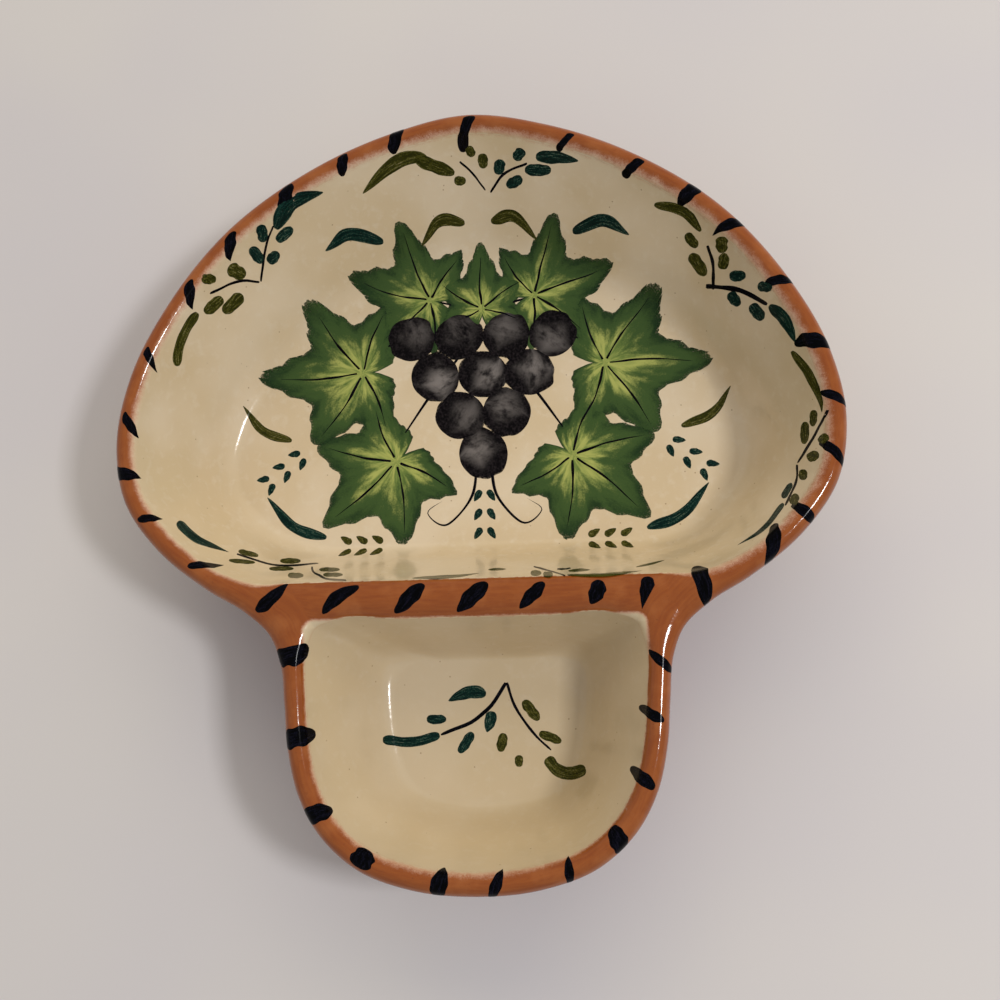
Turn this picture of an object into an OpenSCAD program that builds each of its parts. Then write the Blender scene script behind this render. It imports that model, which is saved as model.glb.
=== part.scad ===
// Hand-painted olive dish shaped like a mushroom: a large cap well for the olives, a small stem well
// for the stones and one divider between them. The clay body is a single fired piece. Each well is
// lined with its own coat of slip, which thins to nothing at the rim.
// The origin is on the table under the middle of the dish, +X runs across the cap, +Y points at the
// crown of the cap and +Z is up. The dish is a mirror image of itself in X.

/* [Dish] */
// Width across the cap, at the widest part of the rim
cap_w = 210; // [180:1:240]
// Length from the crown of the cap to the end of the stem
dish_l = 226; // [205:1:250]
// Height of the rim above the table
dish_h = 44; // [34:1:56]

/* [Stem] */
// Width across the stem
stem_w = 106; // [92:1:122]
// Length of the stem, from the middle of the divider to its end
stem_l = 79; // [68:1:92]

/* [Rim and divider] */
// Width of the rolled rim, from its outer edge to the edge of the slip
rim_w = 6.5; // [5:0.5:9]
// Width of the divider between the two edges of slip
divider_w = 11; // [8:0.5:14]
// Height of the roll, from its widest place to its top
roll_h = 4; // [2.5:0.5:6]

/* [Cap well] */
// How far the wall leans in between the slip's edge and the floor, at the sides
cap_run = 15.5; // [12:0.5:19]
// The same at the crown
crown_run = 22.5; // [16:0.5:27]
// The same along the divider
cap_divider_run = 13; // [9:0.5:17]

/* [Stem well] */
// How far the wall leans in at the sides
stem_run = 15; // [11:0.5:18]
// The same at the end of the stem
stem_end_run = 12.5; // [9:0.5:16]
// The same along the divider
stem_divider_run = 8; // [6:0.5:12]
// Radius of the two corners beside the divider, at the rim
stem_corner = 7; // [4:0.5:10]
// Radius of the same corners at the floor
stem_floor_corner = 8; // [5:0.5:11]
// How much higher the stem floor lies than the cap floor
stem_rise = 4; // [0:0.5:8]

/* [Clay and slip] */
// Thickness of the clay under the cap well, foot and slip included
base_t = 6.5; // [5:0.5:10]
// Size of the rounding between a well's wall and its floor
well_fillet = 9; // [5:0.5:14]
// Thickness of the slip
slip_t = 0.5; // [0.3:0.1:1]

/* [Foot] */
// How far the foot stands out beyond the edge of the floor above it
foot_out = 4; // [2:0.5:6]
// Height of the rounded edge of the foot
foot_round = 1.5; // [1:0.25:3]
// Width of the ring that the dish stands on
foot_w = 8; // [5:0.5:12]
// Depth of the recess inside that ring
foot_recess = 1.2; // [0.6:0.2:2.4]

/* [Hidden] */

clay_colour = [0.71, 0.42, 0.26];
slip_colour = [0.88, 0.82, 0.69];
// Overrun of a cut past the face that it opens
cut_over = 1;

// Steps between two outline points, and across the roll of the rim
outline_steps = 3;
roll_steps = 6;
// Steps between outline points along the divider
divider_points = 6;

cap_l = dish_l - stem_l;
divider_y = stem_l - dish_l / 2;
cap_edge_y = divider_y + divider_w / 2;
stem_edge_y = divider_y - divider_w / 2;

// Right half of the outline, from the crown to the widest place: X in halves of the cap's width,
// Y in cap lengths from the divider
cap_top_shares = [
    [0, 1], [0.235, 0.966], [0.490, 0.884], [0.700, 0.772],
    [0.873, 0.612], [0.970, 0.463], [1, 0.320]
];
// From there to the neck: X from the neck's place to the widest place, Y as above
cap_under_shares = [[0.926, 0.204], [0.716, 0.110], [0.391, 0.027], [0.149, -0.020]];
// The neck and the stem, to the end: X in halves of the stem's width, Y in stem lengths
stem_shares = [
    [1.083, 0.120], [1.025, 0.215], [1, 0.354], [0.974, 0.519], [0.917, 0.665],
    [0.819, 0.785], [0.623, 0.906], [0.321, 0.980], [0, 1]
];
// Steps between outline points on each half of the cap and of the stem
cap_points = len(cap_top_shares) + len(cap_under_shares);
stem_points = len(stem_shares) - 1;

// Places down a well's wall: 0 is the edge of the slip, 1 the edge of the floor
wall_shares = [0, 0.05, 0.14, 0.28, 0.44, 0.60, 0.74, 0.86, 0.97, 1.09, 1.22, 1.42];
// How much steeper the wall starts than it goes on, and where the slip reaches its full thickness
wall_start_share = 0.35;
slip_full_share = 0.14;
// Places down the outer wall: 0 is under the roll, 1 the foot
outer_shares = [0, 0.12, 0.27, 0.43, 0.60, 0.77, 0.90, 1];
// Bend of that wall: 1 is straight, and more bulges
outer_bend = 1.3;
// Parts of the way in to the foot at which the roll starts its top and ends underneath
roll_in_share = 0.012;
roll_under_share = 0.04;
// The roll ends this many degrees short of upright, where a wall takes over
roll_end_angle = 20;
// A right-angled corner of radius 1 is cut back by this much at its middle
corner_cut_share = 1 - sqrt(2) / 2;

// Blends and smooth loops
function blend(a, b, share) = a * (1 - share) + b * share;
function mirrored(p) = [-p.x, p.y];
function at(list, i) = list[(i + len(list)) % len(list)];

// Larger of two values, rounded over where they come within size of each other
function rounded_max(a, b, size) =
    let (near = max(size - abs(a - b), 0) / size)
    max(a, b) + near * near * size / 4;

// Direction of a closed loop at point i, weighted by the lengths of the two steps beside it
function heading(loop, i) =
    let (before = loop[i] - at(loop, i - 1))
    let (after = at(loop, i + 1) - loop[i])
    let (b = norm(before))
    let (a = norm(after))
    (before * (a / b) + after * (b / a)) / (a + b);

// Cubic between points i and i + 1 of a loop, along the loop's headings
function cubic(loop, headings, i, t) =
    let (p = loop[i])
    let (q = at(loop, i + 1))
    let (step = norm(q - p))
    p * (1 + t * t * (2 * t - 3)) + q * (t * t * (3 - 2 * t))
    + headings[i] * (step * t * (1 - t) * (1 - t)) - at(headings, i + 1) * (step * t * t * (1 - t));

// A smooth closed loop through points given in order
function smooth(loop) =
    let (headings = [for (i = [0:len(loop) - 1]) heading(loop, i)])
    [for (i = [0:len(loop) - 1]) for (j = [0:outline_steps - 1]) cubic(loop, headings, i, j / outline_steps)];

// Outline points. Every loop starts at the left neck and runs over the crown to the right neck.
neck_x = stem_shares[0].x * stem_w / 2;
cap_half = concat(
    [for (s = cap_top_shares) [s.x * cap_w / 2, divider_y + s.y * cap_l]],
    [for (s = cap_under_shares) [blend(neck_x, cap_w / 2, s.x), divider_y + s.y * cap_l]]
);
stem_half = [for (s = stem_shares) [s.x * stem_w / 2, divider_y - s.y * stem_l]];
right_half = concat(cap_half, stem_half);
outline = concat(
    [for (i = [cap_points:-1:1]) mirrored(right_half[i])],
    right_half,
    [for (i = [cap_points + stem_points - 1:-1:cap_points + 1]) mirrored(right_half[i])]
);
// The inward direction at each outline point is the heading turned to the right
inward = [for (i = [0:len(outline) - 1]) let (h = heading(outline, i)) [h.y, -h.x] / norm(h)];
function inset(i, d) = outline[i] + inward[i] * d;

// Lean of the wall beside outline point i, which changes as the outline turns to the crown or the end
function wall_run(i) =
    let (turn = inward[i].y * inward[i].y)
    i <= 2 * cap_points
        ? (inward[i].y < 0 ? blend(cap_run, crown_run, turn) : cap_run)
        : blend(stem_run, stem_end_run, turn);

// Loops round the cap well: the outline moved in, kept off the divider, then back along the divider
function cap_loop(extra, edge_y) =
    let (arc = [for (i = [0:2 * cap_points])
        let (p = inset(i, rim_w + extra * wall_run(i)))
        [p.x, max(p.y, edge_y)]])
    let (corner_x = arc[2 * cap_points].x)
    concat(arc, [for (q = [1:divider_points - 1]) [corner_x * (1 - 2 * q / divider_points), edge_y]]);
cap_edge = smooth(cap_loop(0, cap_edge_y));
cap_floor = smooth(cap_loop(1, cap_edge_y + cap_divider_run));

// Loops round the stem well, from the right corner round the end to the left corner and back
function stem_loop(extra, edge_y, corner) =
    let (first = 2 * cap_points)
    let (side = inset(first + 2, rim_w + extra * wall_run(first + 2)))
    let (cut = corner * corner_cut_share)
    let (beside = [side.x, edge_y - corner])
    let (bend = [side.x - cut, edge_y - cut])
    let (top = [side.x - corner, edge_y])
    let (inner = [for (i = [2:2 * stem_points - 2]) inset(first + i, rim_w + extra * wall_run(first + i))])
    concat(
        [bend, beside],
        inner,
        [mirrored(beside), mirrored(bend), mirrored(top)],
        [for (q = [1:divider_points - 3]) [top.x * (2 * q / (divider_points - 2) - 1), edge_y]],
        [top]
    );
stem_edge = smooth(stem_loop(0, stem_edge_y, stem_corner));
stem_floor = smooth(stem_loop(1, stem_edge_y - stem_divider_run, stem_floor_corner));

// Loops round the outside: the widest place of the rim, and the foot
rim_loop = smooth(outline);
foot_points = [for (i = [0:len(outline) - 1]) inset(i, rim_w + wall_run(i) - foot_out)];
foot_loop = smooth(foot_points);
recess_loop = smooth([for (i = [0:len(outline) - 1]) inset(i, rim_w + wall_run(i) - foot_out + foot_w)]);

// Heights
roll_end_z = dish_h - roll_h * (1 - sin(roll_end_angle));
cap_floor_z = base_t;
stem_floor_z = base_t + stem_rise;

// Sheets are lists of rows of points. A sheet's faces turn clockwise as seen from its outer side.
function sheet_faces(rows, columns, start, turned) = [
    for (r = [0:rows - 2]) for (c = [0:columns - 2])
        let (a = start + r * columns + c)
        let (b = a + 1)
        let (d = a + columns)
        each turned ? [[a, d, b], [b, d, d + 1]] : [[a, b, d], [b, d + 1, d]]
];
function total(list, count) = count == 0 ? 0 : list[count - 1] + total(list, count - 1);
function solid_points(sheets) = [for (sheet = sheets) for (row = sheet[1]) each row];
function solid_faces(sheets) =
    let (sizes = [for (sheet = sheets) len(sheet[1]) * len(sheet[1][0])])
    [for (k = [0:len(sheets) - 1])
        each sheet_faces(len(sheets[k][1]), len(sheets[k][1][0]), total(sizes, k), sheets[k][0])];
// A solid closed by sheets. Faces that a pole or a corner shrinks to nothing are left out.
module closed_by(sheets) {
    points = solid_points(sheets);
    faces = [for (f = solid_faces(sheets))
        if (points[f[0]] != points[f[1]] && points[f[1]] != points[f[2]] && points[f[2]] != points[f[0]]) f];
    polyhedron(points, faces);
}

// A point across the roll between two or three of its edges, given the shares of each edge
function roll_z(share) =
    dish_h - roll_h * (1 - sqrt(1 - pow((2 * max(share, 1 / 2) - 1) * cos(roll_end_angle), 2)));
function roll_point(a, b, c, shares) =
    let (p = a * shares[0] + b * shares[1] + c * shares[2])
    [p.x, p.y, roll_z(max(shares))];
// Even steps round the roll, as shares of its width
roll_places = [
    for (k = [0:roll_steps])
        let (angle = roll_end_angle + (180 - 2 * roll_end_angle) * k / roll_steps)
        k == 0 ? 0 : k == roll_steps ? 1 : (1 - cos(angle) / cos(roll_end_angle)) / 2
];
// A strip of the roll between two loops that run side by side
function roll_strip(outer, inner) = [
    for (s = roll_places) [for (i = [0:len(outer) - 1]) roll_point(outer[i], inner[i], [0, 0], [1 - s, s, 0])]
];
// The three-cornered place where rim, divider and stem meet
function roll_corner(a, b, c) = [
    for (s = roll_places) [for (t = roll_places) roll_point(a, b, c, [1 - s, s * (1 - t), s * t])]
];

roll_outer = [for (i = [0:len(rim_loop) - 1]) blend(rim_loop[i], foot_loop[i], roll_in_share)];
cap_end = 2 * cap_points * outline_steps;
stem_end = 2 * stem_points * outline_steps;
divider_end = divider_points * outline_steps;

// Rows of the outer wall, from the roll down to the middle of the base
function ring(share, z) = [
    for (i = [0:len(rim_loop)])
        let (p = blend(at(rim_loop, i), at(foot_loop, i), share))
        [p.x, p.y, z]
];
function pole(centre, columns) = [for (i = [1:columns]) centre];
roll_under_z = dish_h - 2 * roll_h;
base_centre = [0, divider_y + cap_divider_run, 0];
outer_rows = concat(
    [[for (i = [0:len(rim_loop)]) let (p = at(roll_outer, i)) [p.x, p.y, roll_z(1)]]],
    [ring(0, dish_h - roll_h)],
    [for (s = outer_shares)
        ring(blend(roll_under_share, 1, pow(s, outer_bend)), blend(roll_under_z, foot_round, s))],
    [[for (i = [0:len(rim_loop)])
        let (p = at(foot_loop, i))
        let (q = at(recess_loop, i))
        let (r = blend(p, q, foot_round / foot_w))
        [r.x, r.y, 0]]],
    [pole(base_centre, len(rim_loop) + 1)]
);

// Rows down a well, on the face of the slip (coat = 0) or on the clay behind it (coat = slip_t)
function well_z(share, floor_z) =
    let (steep = share + wall_start_share * share * pow(max(1 - share, 0), 3))
    rounded_max(blend(roll_end_z, floor_z, steep), floor_z, well_fillet);
function well_rows(edge, floor, floor_z, coat) =
    let (n = len(edge))
    let (middle_y = (max([for (p = floor) p.y]) + min([for (p = floor) p.y])) / 2)
    concat(
        [for (s = wall_shares)
            let (t = coat * min(s / slip_full_share, 1))
            [for (i = [0:n])
                let (a = at(edge, i))
                let (b = at(floor, i))
                let (p = blend(a, b, s) + (a - b) * (t / norm(a - b)))
                [p.x, p.y, s == 0 ? roll_z(1) : well_z(s, floor_z) - t]]],
        [pole([0, middle_y, floor_z - coat], n + 1)]
    );

module dish_body() {
    over_rim = roll_strip([for (i = [0:cap_end]) roll_outer[i]], [for (i = [0:cap_end]) cap_edge[i]]);
    round_stem = roll_strip(
        [for (i = [0:stem_end]) at(roll_outer, cap_end + i)],
        [for (i = [0:stem_end]) stem_edge[i]]
    );
    along_divider = roll_strip(
        [for (i = [0:divider_end]) at(cap_edge, cap_end + i)],
        [for (i = [0:divider_end]) at(stem_edge, stem_end + divider_end - i)]
    );
    color(clay_colour)
        difference() {
            closed_by([
                [true, outer_rows],
                [false, over_rim],
                [false, round_stem],
                [true, along_divider],
                [false, roll_corner(roll_outer[cap_end], cap_edge[cap_end], stem_edge[0])],
                [true, roll_corner(roll_outer[0], cap_edge[0], stem_edge[stem_end])],
                [false, well_rows(cap_edge, cap_floor, cap_floor_z, slip_t)],
                [false, well_rows(stem_edge, stem_floor, stem_floor_z, slip_t)]
            ]);
            translate([0, 0, -cut_over])
                linear_extrude(foot_recess + cut_over)
                    polygon(recess_loop);
        }
}

// A coat of slip: its face and its back meet at the edge
module slip_coat(edge, floor, floor_z) {
    color(slip_colour)
        closed_by([
            [false, well_rows(edge, floor, floor_z, 0)],
            [true, well_rows(edge, floor, floor_z, slip_t)]
        ]);
}

module cap_slip() {
    slip_coat(cap_edge, cap_floor, cap_floor_z);
}

module stem_slip() {
    slip_coat(stem_edge, stem_floor, stem_floor_z);
}

dish_body();
cap_slip();
stem_slip();
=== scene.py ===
import bmesh
import bpy
import numpy as np
from mathutils import Euler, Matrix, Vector


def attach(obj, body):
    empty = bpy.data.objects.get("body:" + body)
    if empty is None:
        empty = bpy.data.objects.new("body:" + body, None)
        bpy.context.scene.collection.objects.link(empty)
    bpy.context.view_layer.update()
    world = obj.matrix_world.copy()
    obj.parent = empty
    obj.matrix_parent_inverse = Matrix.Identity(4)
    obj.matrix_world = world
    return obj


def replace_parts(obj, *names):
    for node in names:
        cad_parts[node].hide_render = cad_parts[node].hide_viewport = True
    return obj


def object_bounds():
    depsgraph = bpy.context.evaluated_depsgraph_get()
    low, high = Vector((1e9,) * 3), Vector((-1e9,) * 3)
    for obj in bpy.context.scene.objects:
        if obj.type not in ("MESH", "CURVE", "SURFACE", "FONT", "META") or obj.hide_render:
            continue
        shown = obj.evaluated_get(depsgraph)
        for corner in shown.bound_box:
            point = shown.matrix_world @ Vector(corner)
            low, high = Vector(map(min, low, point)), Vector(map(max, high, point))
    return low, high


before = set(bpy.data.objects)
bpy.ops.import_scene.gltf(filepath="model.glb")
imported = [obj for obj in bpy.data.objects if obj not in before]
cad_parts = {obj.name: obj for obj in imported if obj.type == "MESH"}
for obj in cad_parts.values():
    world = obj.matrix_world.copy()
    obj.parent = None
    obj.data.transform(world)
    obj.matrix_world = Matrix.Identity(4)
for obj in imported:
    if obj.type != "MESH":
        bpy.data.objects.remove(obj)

cad_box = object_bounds()

# Sizes of the dish in metres, the overall ones from the frame
MM = 0.001
CAP_W = cad_box[1].x - cad_box[0].x
DISH_L = cad_box[1].y - cad_box[0].y
DISH_H = cad_box[1].z
STEM_W = 106 * MM
STEM_L = 79 * MM
RIM_W = 6.5 * MM
DIVIDER_W = 11 * MM
ROLL_H = 4 * MM
CAP_RUN = 15.5 * MM
CROWN_RUN = 22.5 * MM
CAP_DIVIDER_RUN = 13 * MM
STEM_RUN = 15 * MM
STEM_END_RUN = 12.5 * MM
STEM_DIVIDER_RUN = 8 * MM
STEM_CORNER = 7 * MM
STEM_FLOOR_CORNER = 8 * MM
CAP_FLOOR_Z = 6.5 * MM
STEM_FLOOR_Z = 10.5 * MM
WELL_FILLET = 9 * MM
SLIP_T = 0.5 * MM
FOOT_OUT = 4 * MM
FOOT_ROUND = 1.5 * MM
FOOT_W = 8 * MM
FOOT_RECESS = 1.2 * MM

# Outline shares, as in the CAD model
CAP_TOP_SHARES = [
    (0, 1), (0.235, 0.966), (0.490, 0.884), (0.700, 0.772), (0.873, 0.612), (0.970, 0.463), (1, 0.320),
]
CAP_UNDER_SHARES = [(0.926, 0.204), (0.716, 0.110), (0.391, 0.027), (0.149, -0.020)]
STEM_SHARES = [
    (1.083, 0.120), (1.025, 0.215), (1, 0.354), (0.974, 0.519), (0.917, 0.665),
    (0.819, 0.785), (0.623, 0.906), (0.321, 0.980), (0, 1),
]
CAP_POINTS = len(CAP_TOP_SHARES) + len(CAP_UNDER_SHARES)
STEM_POINTS = len(STEM_SHARES) - 1
DIVIDER_POINTS = 6
# How much steeper a wall starts, where down it the slip has its full thickness, and how far a well's
# rows go on over the floor
WALL_START_SHARE = 0.35
SLIP_FULL_SHARE = 0.14
FLOOR_SHARE = 1.3
# How far towards the foot the roll's outer line lies and the wall under it starts
ROLL_IN_SHARE = 0.012
ROLL_UNDER_SHARE = 0.04
# Angle at which both ends of the roll's half ellipse are cut, and power that bends the outer wall
ROLL_END = np.radians(20)
OUTER_BEND = 1.3

# Fineness of the surfaces
LOOP_STEPS = 18
ROLL_STEPS = 22
WALL_STEPS = 52
OUTER_STEPS = 30
FOOT_STEPS = 4
# Power that sets a well's rows closer together at its edge
ROW_POWER = 1.15

DIVIDER_Y = STEM_L - DISH_L / 2
CAP_EDGE_Y = DIVIDER_Y + DIVIDER_W / 2
STEM_EDGE_Y = DIVIDER_Y - DIVIDER_W / 2
CAP_L = DISH_L - STEM_L

# The camera, found from the mirror symmetry of the dish. Marks given in image points are on a frame
# of 1000 by 1000.
FRAME_PX = 1000
SENSOR = 36
LENS = 39.6
CAMERA_AT = Vector((0.03408, -0.06862, 0.34321))
CAMERA_TURN = Euler(np.radians((11.464, 5.142, -0.917)), "XYZ")


# Directions and lengths

def unit(vectors):
    """The vectors' directions: each one over its length."""
    return vectors / np.linalg.norm(vectors, axis=-1, keepdims=True)


def left_of(way):
    """A direction in plan turned a quarter to the left: its Y with the sign changed, then its X."""
    return np.stack([-way[..., 1], way[..., 0]], -1)


def turned(way, turn):
    """A direction in plan turned to the left: its cosine's share and the sine's share of its left."""
    return np.multiply.outer(np.cos(turn), way) + np.multiply.outer(np.sin(turn), left_of(way))


def row_lengths(rows):
    """Length from the first row of points to each row, down each column: the sum of the steps."""
    steps = np.linalg.norm(np.diff(rows, axis=0), axis=-1)
    return np.concatenate([np.zeros((1,) + steps.shape[1:]), np.cumsum(steps, 0)])


# Loops

def heading(loop):
    """Direction of a closed loop at each point: the steps before and after it, each weighted by the
    length of the other one."""
    before = loop - np.roll(loop, 1, 0)
    after = np.roll(loop, -1, 0) - loop
    came = np.linalg.norm(before, axis=1)[:, None]
    goes = np.linalg.norm(after, axis=1)[:, None]
    return (before * (goes / came) + after * (came / goes)) / (goes + came)


def smooth(points):
    """A closed loop through the points: between each two of them a cubic that keeps their headings."""
    here = np.asarray(points, float)
    way = heading(here)
    there, way_there = np.roll(here, -1, 0), np.roll(way, -1, 0)
    gap = np.linalg.norm(there - here, axis=1)[:, None, None]
    t = (np.arange(LOOP_STEPS) / LOOP_STEPS)[None, :, None]
    ends = here[:, None] * (1 + t * t * (2 * t - 3)) + there[:, None] * (t * t * (3 - 2 * t))
    lean = way[:, None] * (t * (1 - t) ** 2) - way_there[:, None] * (t * t * (1 - t))
    return (ends + gap * lean).reshape(-1, 2)


def outline_points():
    """The outline's own points: from the left neck over the crown to the right one, then round the stem."""
    neck_x = STEM_SHARES[0][0] * STEM_W / 2
    half = [(x * CAP_W / 2, DIVIDER_Y + y * CAP_L) for x, y in CAP_TOP_SHARES]
    half += [(neck_x + (CAP_W / 2 - neck_x) * x, DIVIDER_Y + y * CAP_L) for x, y in CAP_UNDER_SHARES]
    half += [(x * STEM_W / 2, DIVIDER_Y - y * STEM_L) for x, y in STEM_SHARES]
    half = np.array(half)
    other = half * (-1, 1)
    cap_side = other[CAP_POINTS:0:-1]
    stem_side = other[CAP_POINTS + STEM_POINTS - 1:CAP_POINTS:-1]
    return np.vstack([cap_side, half, stem_side])


OUTLINE = outline_points()
INWARD = -left_of(unit(heading(OUTLINE)))


def wall_runs():
    """How far the wall leans in beside each outline point: it changes with the square of the inward
    direction's Y."""
    turn = INWARD[:, 1] ** 2
    cap = np.where(INWARD[:, 1] < 0, CAP_RUN + (CROWN_RUN - CAP_RUN) * turn, CAP_RUN)
    stem = STEM_RUN + (STEM_END_RUN - STEM_RUN) * turn
    return np.where(np.arange(len(OUTLINE)) <= 2 * CAP_POINTS, cap, stem)


RUN = wall_runs()


def inset(distance):
    """The outline's points moved straight in by a distance each."""
    return OUTLINE + INWARD * np.broadcast_to(distance, len(OUTLINE))[:, None]


def cap_loop(extra, edge_y):
    """Points of a loop round the cap well: the outline moved in, kept off the divider, then back."""
    arc = inset(RIM_W + extra * RUN)[:2 * CAP_POINTS + 1].copy()
    arc[:, 1] = np.maximum(arc[:, 1], edge_y)
    corner = arc[-1, 0]
    back = [(corner * (1 - 2 * q / DIVIDER_POINTS), edge_y) for q in range(1, DIVIDER_POINTS)]
    return np.vstack([arc, back])


def stem_loop(extra, edge_y, corner):
    """Points of a loop round the stem well, from its right corner round the end, then back along the
    divider."""
    moved = inset(RIM_W + extra * RUN)
    first = 2 * CAP_POINTS
    side = moved[first + 2, 0]
    cut = corner * (1 - np.sqrt(0.5))
    beside, bend, top = np.array([
        (side, edge_y - corner), (side - cut, edge_y - cut), (side - corner, edge_y),
    ])
    flip = np.array((-1, 1))
    steps = DIVIDER_POINTS - 2
    back = [(top[0] * (2 * q / steps - 1), edge_y) for q in range(1, steps)]
    inner = moved[first + 2:first + 2 * STEM_POINTS - 1]
    return np.vstack([bend, beside, inner, beside * flip, bend * flip, top * flip, back, top])


RIM = smooth(OUTLINE)
FOOT = smooth(inset(RIM_W + RUN - FOOT_OUT))
RECESS = smooth(inset(RIM_W + RUN - FOOT_OUT + FOOT_W))
CAP_EDGE = smooth(cap_loop(0, CAP_EDGE_Y))
CAP_FLOOR = smooth(cap_loop(1, CAP_EDGE_Y + CAP_DIVIDER_RUN))
STEM_EDGE = smooth(stem_loop(0, STEM_EDGE_Y, STEM_CORNER))
STEM_FLOOR = smooth(stem_loop(1, STEM_EDGE_Y - STEM_DIVIDER_RUN, STEM_FLOOR_CORNER))
ROLL_OUTER = RIM + (FOOT - RIM) * ROLL_IN_SHARE
CAP_END = 2 * CAP_POINTS * LOOP_STEPS
STEM_END = 2 * STEM_POINTS * LOOP_STEPS


# Heights

def roll_height(share):
    """Height of the roll where the largest share of its edges is as given: half an ellipse cut short
    at both ends."""
    out = (2 * np.maximum(share, 0.5) - 1) * np.cos(ROLL_END)
    return DISH_H - ROLL_H * (1 - np.sqrt(1 - out ** 2))


ROLL_END_Z = roll_height(1)


def well_height(share, floor_z):
    """Height of a well's wall: straight down from the roll, a little steeper at first, then rounded
    over into the floor."""
    steep = share + WALL_START_SHARE * share * np.maximum(1 - share, 0) ** 3
    wall = ROLL_END_Z + (floor_z - ROLL_END_Z) * steep
    near = np.maximum(WELL_FILLET - np.abs(wall - floor_z), 0) / WELL_FILLET
    return np.maximum(wall, floor_z) + near ** 2 * WELL_FILLET / 4


# Sheets, which are arrays of rows of points in space

def closed(loop):
    """A loop with its first point again at its end."""
    return np.vstack([loop, loop[:1]])


def at_height(plan, z):
    """Points in space from points in plan."""
    return np.concatenate([plan, np.broadcast_to(z, plan.shape[:-1])[..., None]], -1)


def roll_places():
    """Shares across the roll at even angles round it."""
    angle = np.linspace(ROLL_END, np.pi - ROLL_END, ROLL_STEPS + 1)
    return (1 - np.cos(angle) / np.cos(ROLL_END)) / 2


def roll_strip(outer, inner):
    """The roll between two lines that run side by side: straight across in plan, an ellipse in height."""
    share = roll_places()[:, None, None]
    plan = outer[None] * (1 - share) + inner[None] * share
    return at_height(plan, roll_height(np.maximum(share, 1 - share))[..., 0])


def roll_corner(rim, cap, stem):
    """The three-cornered place where rim, divider and stem meet: the corners weighted by their shares."""
    inner, side = np.meshgrid(roll_places(), roll_places(), indexing="ij")
    weights = np.stack([1 - inner, inner * (1 - side), inner * side], -1)
    return at_height(weights @ np.array([rim, cap, stem]), roll_height(weights.max(-1)))


def well_sheet(edge, floor, floor_z, coat, steps):
    """Rows down a well, on the face of the slip or on the clay behind it: each row lies a share of the
    way from the edge to the floor's edge, and the last one is the middle of the floor."""
    top, foot = closed(edge)[None], closed(floor)[None]
    share = (np.linspace(0, 1, steps + 1) ** ROW_POWER * FLOOR_SHARE)[:, None, None]
    behind = coat * np.minimum(share / SLIP_FULL_SHARE, 1)
    plan = top + (foot - top) * share + unit(top - foot) * behind
    z = np.where(share == 0, ROLL_END_Z, well_height(share, floor_z) - behind)[..., 0]
    sheet = at_height(plan, np.broadcast_to(z, plan.shape[:2]))
    middle = (floor[:, 1].max() + floor[:, 1].min()) / 2
    return np.concatenate([sheet, np.broadcast_to((0, middle, floor_z - coat), sheet[:1].shape)])


def outer_sheet():
    """The outer wall, foot and base: rows from the roll down to the middle of the base."""
    rim, foot, recess = closed(RIM)[None], closed(FOOT)[None], closed(RECESS)[None]
    share = np.linspace(0, 1, OUTER_STEPS)[:, None, None]
    lean = ROLL_UNDER_SHARE + (1 - ROLL_UNDER_SHARE) * share ** OUTER_BEND
    under = DISH_H - 2 * ROLL_H
    turn = np.linspace(0, np.pi / 2, FOOT_STEPS + 1)[1:, None, None]
    round_in = foot + (recess - foot) * FOOT_ROUND / FOOT_W * (1 - np.cos(turn))
    rows = [
        at_height(closed(ROLL_OUTER)[None], ROLL_END_Z),
        at_height(rim, DISH_H - ROLL_H),
        at_height(rim + (foot - rim) * lean, (under + (FOOT_ROUND - under) * share)[..., 0]),
        at_height(round_in, (FOOT_ROUND * (1 - np.sin(turn)))[..., 0]),
        at_height(foot + (recess - foot) * (1 - FOOT_RECESS / FOOT_W * np.cos(turn)), 0),
        at_height(recess, FOOT_RECESS),
        np.broadcast_to((0, DIVIDER_Y + CAP_DIVIDER_RUN, FOOT_RECESS), (1, len(RIM) + 1, 3)),
    ]
    return np.concatenate(rows)


# Meshes

def grid_faces(rows, columns):
    """Four corners of each face of a grid of points."""
    at = np.arange(rows * columns).reshape(rows, columns)
    return np.stack([at[:-1, :-1], at[:-1, 1:], at[1:, 1:], at[1:, :-1]], -1).reshape(-1, 4)


# Value that holds the directions of the glaze over a mark, which the mark is shaded with
GLAZE_TURN = "glaze_turn"
# Distance at which two points become one, and length of an edge that is taken out
SAME_PLACE = 1e-7
NO_LENGTH = 1e-8
# Turn in degrees over which an edge is sharp: on the clay, and where a slip's face meets its back
CLAY_SHARP = 40
SLIP_SHARP = 80


def put_in_scene(name, data):
    """A new object in the scene that shows a mesh, a lamp or a camera."""
    shown = bpy.data.objects.new(name, data)
    bpy.context.scene.collection.objects.link(shown)
    return shown


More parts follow.
